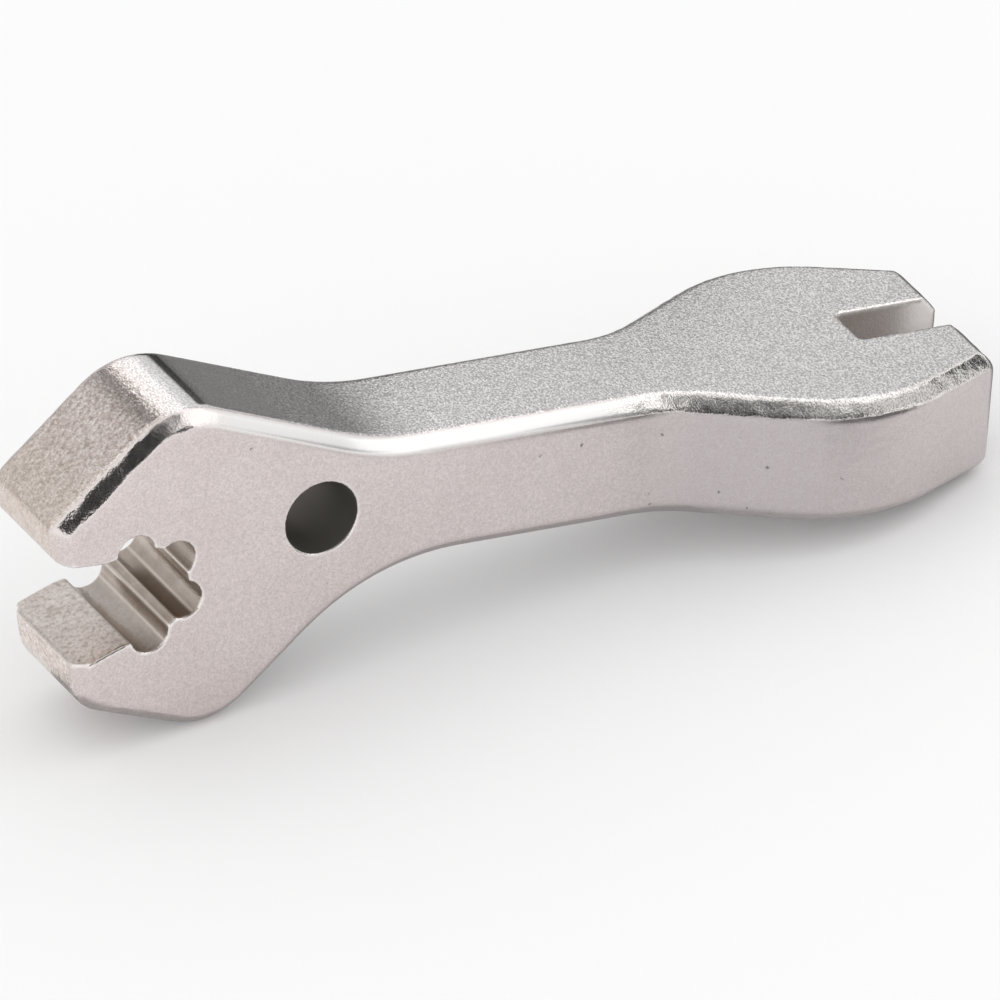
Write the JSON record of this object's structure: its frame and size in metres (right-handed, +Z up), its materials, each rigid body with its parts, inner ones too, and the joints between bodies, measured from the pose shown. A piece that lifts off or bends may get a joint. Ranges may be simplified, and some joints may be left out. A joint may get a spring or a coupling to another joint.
{
  "type": "spoke wrench",
  "caption": "Cast spoke wrench with an open splined jaw at one end, a hang hole through the neck and a flat slotted head for square nipples at the other end.",
  "frame": {"origin": "centre of the hang hole, at the middle of its length", "axes": "+X along the tool towards the slotted head, level as the tool rests on a table; +Y along the hang hole, from the front face to the back face; +Z up"},
  "size_m": [0.0645, 0.0196, 0.0226],
  "materials": {
    "plated_steel": "satin nickel plate over a fine cast grain"
  },
  "bodies": {
    "root": {"wrench_body": "plated_steel"}
  },
  "joints": []
}
